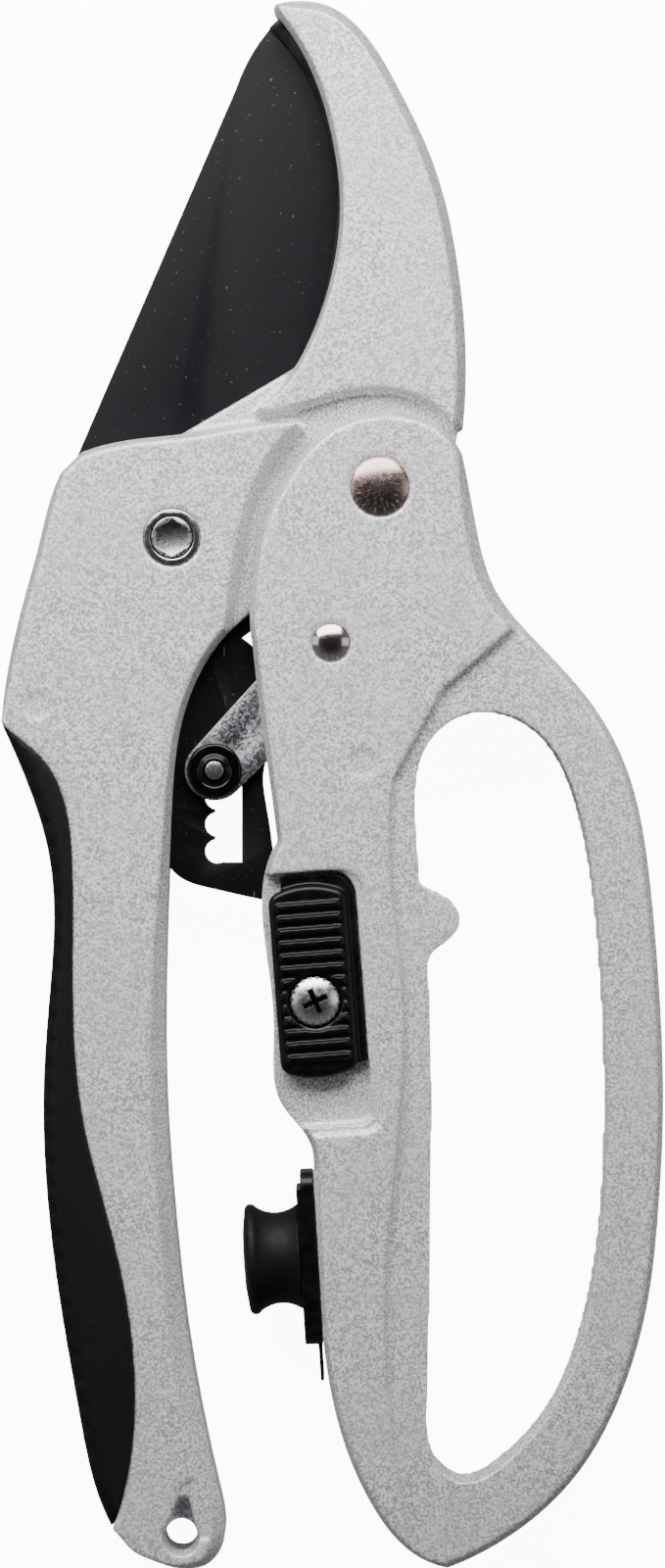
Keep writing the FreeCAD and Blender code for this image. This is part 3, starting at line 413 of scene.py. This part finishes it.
def bright_plate(name, node, colour, roughness, scratches=0.0, recess=None, recess_shade="#2b2a2c"):
    """Nickel plating on turned steel: bright, with faint turning rings about the middle of its node
    and scratches that fan out below it, painted bright only there, below the middle, as a painted
    highlight. Where a recess is given, shade is painted in: the metal is painted darker from that
    depth under the node's top downwards."""
    material, tree, shader, place = started(name)
    middle = centre_of(node)
    moved = add(tree, "ShaderNodeMapping", {"Vector": place, "Location": (-middle.x, -middle.y, 0.0)})
    x, y, z = add(tree, "ShaderNodeSeparateXYZ", [moved]).outputs
    turn = add(tree, MATH, [y, x], operation="ARCTAN2")
    out = add(tree, VECTOR, [add(tree, "ShaderNodeCombineXYZ", [x, y, 0.0])], operation="LENGTH")
    # scratches change quickly round the middle and slowly outwards, so they run away from it
    slow = add(tree, MATH, [out, 160.0], operation="MULTIPLY")
    spoke = add(tree, "ShaderNodeCombineXYZ", [turn, slow, 0.0])
    fan = add(tree, NOISE, {"Vector": spoke, "Scale": 9.0, "Detail": 3.0, "Distortion": 0.6})
    # a finishing cut leaves rings under 0.1 mm apart, too fine to show, and they are drawn coarser
    rings = add(tree, NOISE, {"W": out, "Scale": 1 / (0.25 * MM)}, noise_dimensions="1D")
    # painted highlight: the scratches are painted bright only below the middle, where the light catches them
    lower_side_highlight = add(tree, RANGE, [y, 0.2 * MM, -2.2 * MM, 0.0, scratches], **SMOOTH)
    line = add(tree, RANGE, [fan, 0.56, 0.64, 0.0, 1.0], **SMOOTH)
    highlighted_scratch = add(tree, MATH, [line, lower_side_highlight], operation="MULTIPLY")
    light = add(tree, RANGE, [rings, 0.3, 0.7, 0.0, 1.0], **SMOOTH)
    tone = add(tree, MIX, [light, shade(colour, 0.86), colour], **COLOUR)
    tone = add(tree, MIX, [highlighted_scratch, tone, linear("#fbfaf8")], **COLOUR)
    # painted shade: from the recess depth downwards the metal is painted darker, standing in for the shade
    # inside the recess
    if recess:
        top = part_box(node)[1].z
        shaded_depth = add(tree, RANGE, [z, top - recess, top - recess * 0.6, 1.0, 0.0], **SMOOTH)
        tone = add(tree, MIX, [shaded_depth, tone, linear(recess_shade)], **COLOUR)
    feed(shader, {
        "Base Color": tone,
        "Metallic": 1.0,
        "Roughness": add(tree, RANGE, [fan, 0.3, 0.7, roughness * 0.75, roughness * 1.3], **SMOOTH),
        "Normal": add(tree, BUMP, {"Height": rings, "Distance": 0.004 * MM, "Strength": 0.5})})
    return material


def spring_wire():
    """Drawn music wire: dark grey and lightly oiled, with a slight mottle."""
    material, tree, shader, place = started("drawn_spring_wire")
    # drawing lines are about 0.02 mm apart, too fine to show, and are drawn as a 0.3 mm mottle
    fine = add(tree, NOISE, {"Vector": place, "Scale": 1 / (0.3 * MM), "Detail": 3.0})
    feed(shader, {
        "Base Color": add(tree, MIX, [fine, linear("#5d5a57"), linear("#8f8b87")], **COLOUR),
        "Metallic": 1.0,
        "Roughness": add(tree, RANGE, [fine, 0.3, 0.7, 0.28, 0.42], **SMOOTH)})
    return material


# ---------------------------------------------------------------- node trees that make what repeats
def new_tree(name, floats):
    """An empty node tree for a modifier, with its number inputs named."""
    tree = bpy.data.node_groups.new(name, "GeometryNodeTree")
    tree.interface.new_socket("Geometry", in_out="INPUT", socket_type="NodeSocketGeometry")
    for label in floats:
        tree.interface.new_socket(label, in_out="INPUT", socket_type="NodeSocketFloat")
    tree.interface.new_socket("Finish", in_out="INPUT", socket_type="NodeSocketMaterial")
    tree.interface.new_socket("Geometry", in_out="OUTPUT", socket_type="NodeSocketGeometry")
    return tree, tree.nodes.new("NodeGroupInput").outputs, tree.nodes.new("NodeGroupOutput")


def grow(piece, tree, values):
    """Runs a tree on a piece with its inputs set, and keeps the result as the piece's mesh."""
    modifier = piece.modifiers.new(tree.name, "NODES")
    modifier.node_group = tree
    for item in tree.interface.items_tree:
        if item.in_out == "INPUT" and item.name in values:
            modifier[item.identifier] = values[item.name]
    bake(piece)


def pit_tree():
    """Presses staggered oval pits into the side of the grip that faces -X."""
    tree, given, result = new_tree("grip_pits", ["Row Gap", "Pitch", "Length", "Width", "Depth",
                                                 "Rows", "Columns", "Outside", "Middle Y", "Middle Z"])
    skin, pitch, columns = given["Geometry"], given["Pitch"], given["Columns"]
    # a grid of points, with the rows apart along X and the pits in a row apart along Y
    depth = add(tree, MATH, [given["Rows"], given["Row Gap"]], operation="MULTIPLY")
    height = add(tree, MATH, [columns, pitch], operation="MULTIPLY")
    grid = add(tree, "GeometryNodeMeshGrid", [depth, height, given["Rows"], columns])
    # every second row is shifted by half a pitch, and the grid is stood up outside the grip
    place = add(tree, "GeometryNodeInputPosition")
    spot = add(tree, "ShaderNodeSeparateXYZ", [place]).outputs
    row = add(tree, MATH, [add(tree, "GeometryNodeInputIndex"), columns], operation="DIVIDE")
    row = add(tree, MATH, [row], operation="FLOOR")
    odd = add(tree, MATH, [row, 2.0], operation="MODULO")
    shift = add(tree, MATH, [odd, pitch], operation="MULTIPLY")
    shift = add(tree, MATH, [shift, 0.5, given["Middle Y"]], operation="MULTIPLY_ADD")
    y = add(tree, MATH, [spot["Y"], shift], operation="ADD")
    z = add(tree, MATH, [spot["X"], given["Middle Z"]], operation="ADD")
    start = add(tree, "ShaderNodeCombineXYZ", [given["Outside"], y, z])
    points = add(tree, PLACE, {"Geometry": grid, "Position": start})
    # each point goes along +X to where it meets the grip
    hit = add(tree, "GeometryNodeRaycast", {"Target Geometry": skin, "Ray Direction": (1.0, 0.0, 0.0),
                                            "Ray Length": PIT_REACH})
    landed = add(tree, PLACE, {"Geometry": points, "Selection": hit.outputs["Is Hit"],
                               "Position": hit.outputs["Hit Position"]})
    centres = add(tree, "GeometryNodeMeshToPoints", [landed])
    # the skin within an oval about each point is pressed in, deepest at its middle
    near = add(tree, "GeometryNodeProximity", [centres], target_element="POINTS")
    here = add(tree, "GeometryNodeInputPosition")
    away = add(tree, VECTOR, [here, near], operation="SUBTRACT")
    inward, down, across = add(tree, "ShaderNodeSeparateXYZ", [away]).outputs
    inward = add(tree, MATH, [inward, given["Length"]], operation="DIVIDE")
    down = add(tree, MATH, [down, given["Width"]], operation="DIVIDE")
    across = add(tree, MATH, [across, given["Length"]], operation="DIVIDE")
    oval = add(tree, "ShaderNodeCombineXYZ", [inward, down, across])
    reach = add(tree, VECTOR, [oval], operation="LENGTH")
    press = add(tree, RANGE, [reach, 1.0, 0.45, 0.0, given["Depth"]], **SMOOTH)
    back = add(tree, MATH, [press, -1.0], operation="MULTIPLY")
    push = add(tree, VECTOR, [add(tree, "GeometryNodeInputNormal"), back], operation="SCALE")
    pressed = add(tree, PLACE, {"Geometry": skin, "Offset": push})
    smooth = add(tree, "GeometryNodeSetShadeSmooth", [pressed])
    real = add(tree, "GeometryNodeRealizeInstances", [smooth])
    feed(result, [add(tree, "GeometryNodeSetMaterial", {"Geometry": real, "Material": given["Finish"]})])
    return tree


# ---------------------------------------------------------------- pieces
class PRUNER_OT_castings(bpy.types.Operator):
    """The two die-cast bodies, with soft edges and silver enamel"""
    bl_idname = "pruner.castings"
    bl_label = "Castings"

    def execute(self, context):
        own = sizes()
        for node, name, body in (("anvil_frame", "frame_casting", "frame"),
                                 ("lever_handle", "lever_casting", "lever")):
            piece = soft_copy(node, name, own.casting_cell, own.casting_passes)
            enamel = cast_enamel(f"stoved_enamel_{body}", own.casting_grain)
            hand_over(piece, enamel, body, node)
        return {"FINISHED"}


class PRUNER_OT_blade(bpy.types.Operator):
    """The coated blade with its ratchet tail, and the strip that it lands on"""
    bl_idname = "pruner.blade"
    bl_label = "Blade"

    def execute(self, context):
        hand_over(hard_copy("blade", "cutting_blade"), coated_steel(), "blade", "blade")
        strip = hard_copy("anvil_strip", "hook_liner")
        hand_over(strip, moulded_plastic("moulded_liner", 0.28), "frame", "anvil_strip")
        return {"FINISHED"}


class PRUNER_OT_grip(bpy.types.Operator):
    """The rubber grip with moulded pits down its outer side"""
    bl_idname = "pruner.grip"
    bl_label = "Grip"

    def execute(self, context):
        own = sizes()
        piece = moulded_copy("handle_grip", "rubber_grip")
        low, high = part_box("handle_grip")
        middle = (low + high) / 2
        rubber = moulded_rubber()
        grow(piece, pit_tree(), {
            "Row Gap": own.pit_row_gap, "Pitch": own.pit_pitch, "Length": own.pit_length,
            "Width": own.pit_width, "Depth": own.pit_depth, "Rows": PIT_ROWS,
            "Columns": float(int((high.y - low.y) * PITTED_SHARE / own.pit_pitch)),
            "Outside": low.x - PIT_START, "Middle Y": middle.y, "Middle Z": middle.z, "Finish": rubber})
        hand_over(piece, rubber, "frame", "handle_grip")
        return {"FINISHED"}


class PRUNER_OT_pivot(bpy.types.Operator):
    """The sleeve, bolt and nut that the blade turns on"""
    bl_idname = "pruner.pivot"
    bl_label = "Pivot"

    def execute(self, context):
        steel = colours().steel[:]
        # painted shade: the sleeve's cup and the bolt's socket are painted darker below their tops
        bright = bright_plate("nickel_plated_sleeve", "pivot_sleeve", steel, 0.18, recess=1.1 * MM)
        dull = bright_plate("nickel_plated_bolt", "pivot_bolt", shade(steel, 0.85), 0.3,
                            recess=1.5 * MM, recess_shade="#a8a7a9")
        for node, finish in (("pivot_sleeve", bright), ("pivot_bolt", dull), ("pivot_nut", dull)):
            hand_over(hard_copy(node, f"{node}_bright"), finish, "frame", node)
        return {"FINISHED"}


class PRUNER_OT_rivets(bpy.types.Operator):
    """The two shouldered rivets of the lever, and the coil springs under them"""
    bl_idname = "pruner.rivets"
    bl_label = "Rivets and springs"

    def execute(self, context):
        # the rivets' scratches are a painted highlight, bright only below each head's middle
        for node, tint, roughness in (("lever_rivet", "#b29c95", 0.24), ("link_rivet", "#cfc6c0", 0.15)):
            finish = bright_plate(f"spun_{node}", node, linear(tint), roughness, scratches=0.9)
            hand_over(hard_copy(node, f"{node}_head"), finish, "lever", node)
        wire = spring_wire()
        for node in ("handle_spring", "link_spring"):
            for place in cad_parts[node].material_slots:
                place.material = wire
        return {"FINISHED"}


class PRUNER_OT_link(bpy.types.Operator):
    """The link between the lever and the ratchet, with its pin and caps"""
    bl_idname = "pruner.link"
    bl_label = "Link"

    def execute(self, context):
        zinc = zinc_spangle()
        plastic = moulded_plastic("polished_acetal_caps", 0.1)
        steel = bright_plate("nickel_plated_pin", "link_pin", colours().steel[:], 0.22)
        for node, finish, slot in (("link_plate_front", zinc, "zinc_link"),
                                   ("link_plate_back", zinc, "zinc_link"),
                                   ("link_pin", steel, "plated_steel"),
                                   ("pin_cap_front", plastic, "black_plastic"),
                                   ("pin_cap_back", plastic, "black_plastic")):
            hand_over(hard_copy(node, f"{node}_finished"), finish, "link", node)
        return {"FINISHED"}


class PRUNER_OT_lock(bpy.types.Operator):
    """The slide lock: ribbed thumb slides, screw, nut and inner latch"""
    bl_idname = "pruner.lock"
    bl_label = "Lock"

    def execute(self, context):
        plastic = moulded_plastic("moulded_acetal_slide", 0.26)
        for side in ("front", "back"):
            piece = moulded_copy(f"lock_button_{side}", f"thumb_slide_{side}")
            hand_over(piece, plastic, "lock", f"lock_button_{side}")
        # painted shade: the screw's cross recess is painted darker below its top
        steel = bright_plate("nickel_plated_screw", "lock_screw", colours().steel[:], 0.24, recess=0.95 * MM)
        for node in ("lock_screw", "lock_nut"):
            hand_over(hard_copy(node, f"{node}_bright"), steel, "lock", node)
        hand_over(hard_copy("lock_latch", "latch_plate"), zinc_spangle(), "lock", "lock_latch")
        return {"FINISHED"}


class PRUNER_OT_bumper(bpy.types.Operator):
    """The rubber spool between the handles, on its plate and screw"""
    bl_idname = "pruner.bumper"
    bl_label = "Bumper"

    def execute(self, context):
        rubber = moulded_rubber()
        hand_over(moulded_copy("bumper", "bumper_spool"), rubber, "lever", "bumper")
        plate = moulded_copy("bumper_plate", "bumper_seat")
        plastic = moulded_plastic("moulded_acetal_seat", 0.28)
        hand_over(plate, plastic, "lever", "bumper_plate")
        screw = hard_copy("bumper_screw", "bumper_seat_screw")
        steel = bright_plate("nickel_plated_seat_screw", "bumper_screw", colours().steel[:], 0.26)
        hand_over(screw, steel, "lever", "bumper_screw")
        return {"FINISHED"}


# ---------------------------------------------------------------- stage
CAMERA_HEIGHT = 0.9             # above the floor
VIEW_HEIGHT = 0.2093            # how much of the object the view holds from top to bottom
VIEW_LEVEL = 0.009              # height above the floor at which it holds that much
FLOOR_REACH = 3.0               # from the middle to each edge
FLOOR_GLOW = 11.0               # strong enough for a plain white ground
LIGHTS = (                      # name, place, width, height, power in watts
    ("window", (-0.04, 0.26, 0.24), 0.50, 0.20, 3.5),
    ("side", (-0.70, 0.10, 0.42), 0.35, 0.5, 0.6),
    ("fill", (0.70, 0.05, 0.55), 0.35, 0.5, 0.5),
)
WORLD_LOW, WORLD_HIGH = 0.24, 0.03    # the studio's glow low in the sky and overhead


def white_card():
    """Matte white card that glows by itself: plain, with a tone variation too weak to draw the eye."""
    material, tree, shader, place = started("matte_white_card")
    cloud = add(tree, NOISE, {"Vector": place, "Scale": 1 / (120 * MM), "Detail": 1.0})
    feed(shader, {
        "Base Color": add(tree, MIX, [cloud, linear("#f4f4f4"), linear("#f8f8f8")], **COLOUR),
        "Roughness": 0.9, "Emission Color": linear("#ffffff"), "Emission Strength": FLOOR_GLOW})
    return material


def lay_floor(scene, level):
    """A flat card whose glow only the camera sees, so that the castings' sides keep their shade."""
    mesh = bpy.data.meshes.new("floor")
    corners = [(x * FLOOR_REACH, y * FLOOR_REACH, level) for x, y in ((-1, -1), (1, -1), (1, 1), (-1, 1))]
    mesh.from_pydata(corners, [], [(0, 1, 2, 3)])
    mesh.materials.append(white_card())
    floor = bpy.data.objects.new("floor", mesh)
    scene.collection.objects.link(floor)
    floor.visible_diffuse = False
    floor.visible_glossy = False


def hang_lights(scene):
    """Soft lamps that face the object."""
    for name, place, width, height, power in LIGHTS:
        lamp = bpy.data.lights.new(name, "AREA")
        lamp.shape = "RECTANGLE"
        lamp.size = width
        lamp.size_y = height
        lamp.energy = power
        holder = bpy.data.objects.new(name, lamp)
        holder.location = place
        holder.rotation_euler = (-Vector(place)).to_track_quat("-Z", "Y").to_euler()
        scene.collection.objects.link(holder)


def light_sky(scene):
    """A pale sky that is darker overhead, so that bright upper faces keep some dark in them."""
    world = bpy.data.worlds.new("studio")
    world.use_nodes = True
    tree = world.node_tree
    way = add(tree, "ShaderNodeTexCoord").outputs["Generated"]
    rise = add(tree, "ShaderNodeSeparateXYZ", [way]).outputs["Z"]
    glow = add(tree, RANGE, [rise, 0.5, 0.95, WORLD_LOW, WORLD_HIGH], **SMOOTH)
    feed(tree.nodes["Background"], {"Color": linear("#eef0f3"), "Strength": glow})
    scene.world = world


def set_camera(scene, low, high):
    """A long lens that looks straight down on the middle of the object."""
    lens = bpy.data.cameras.new("camera")
    lens.sensor_width = 36.0
    lens.lens = lens.sensor_width * (CAMERA_HEIGHT - VIEW_LEVEL) / VIEW_HEIGHT
    lens.clip_start = 0.05
    lens.clip_end = 20.0
    holder = bpy.data.objects.new("camera", lens)
    holder.location = ((low.x + high.x) / 2, (low.y + high.y) / 2, low.z + CAMERA_HEIGHT)
    scene.collection.objects.link(holder)
    scene.camera = holder


class PRUNER_OT_stage(bpy.types.Operator):
    """A plain pale floor, soft studio lights and the camera"""
    bl_idname = "pruner.stage"
    bl_label = "Stage"

    def execute(self, context):
        low, high = (Vector(corner) for corner in CAD_BOX)
        lay_floor(context.scene, low.z)
        hang_lights(context.scene)
        light_sky(context.scene)
        set_camera(context.scene, low, high)
        return {"FINISHED"}


STEPS = ("castings", "blade", "grip", "pivot", "rivets", "link", "lock", "bumper", "stage")


class PRUNER_PT_panel(bpy.types.Panel):
    """Lists the sizes, the colours and the steps that build the pruner"""
    bl_idname = "PRUNER_PT_panel"
    bl_label = "Anvil pruner"
    bl_space_type = "VIEW_3D"
    bl_region_type = "UI"
    bl_category = "Pruner"

    def draw(self, context):
        for group in (context.scene.pruner_sizes, context.scene.pruner_colours):
            for name in group.__annotations__:
                self.layout.prop(group, name)
        for step in STEPS:
            self.layout.operator(f"pruner.{step}")


CLASSES = (PrunerSizes, PrunerColours, PRUNER_OT_castings, PRUNER_OT_blade, PRUNER_OT_grip,
           PRUNER_OT_pivot, PRUNER_OT_rivets, PRUNER_OT_link, PRUNER_OT_lock, PRUNER_OT_bumper,
           PRUNER_OT_stage, PRUNER_PT_panel)


def register():
    for kind in CLASSES:
        bpy.utils.register_class(kind)
    bpy.types.Scene.pruner_sizes = bpy.props.PointerProperty(type=PrunerSizes)
    bpy.types.Scene.pruner_colours = bpy.props.PointerProperty(type=PrunerColours)


def unregister():
    del bpy.types.Scene.pruner_colours
    del bpy.types.Scene.pruner_sizes
    for kind in reversed(CLASSES):
        bpy.utils.unregister_class(kind)


def main():
    register()
    for step in STEPS:
        getattr(bpy.ops.pruner, step)()


if __name__ == "__main__":
    main()
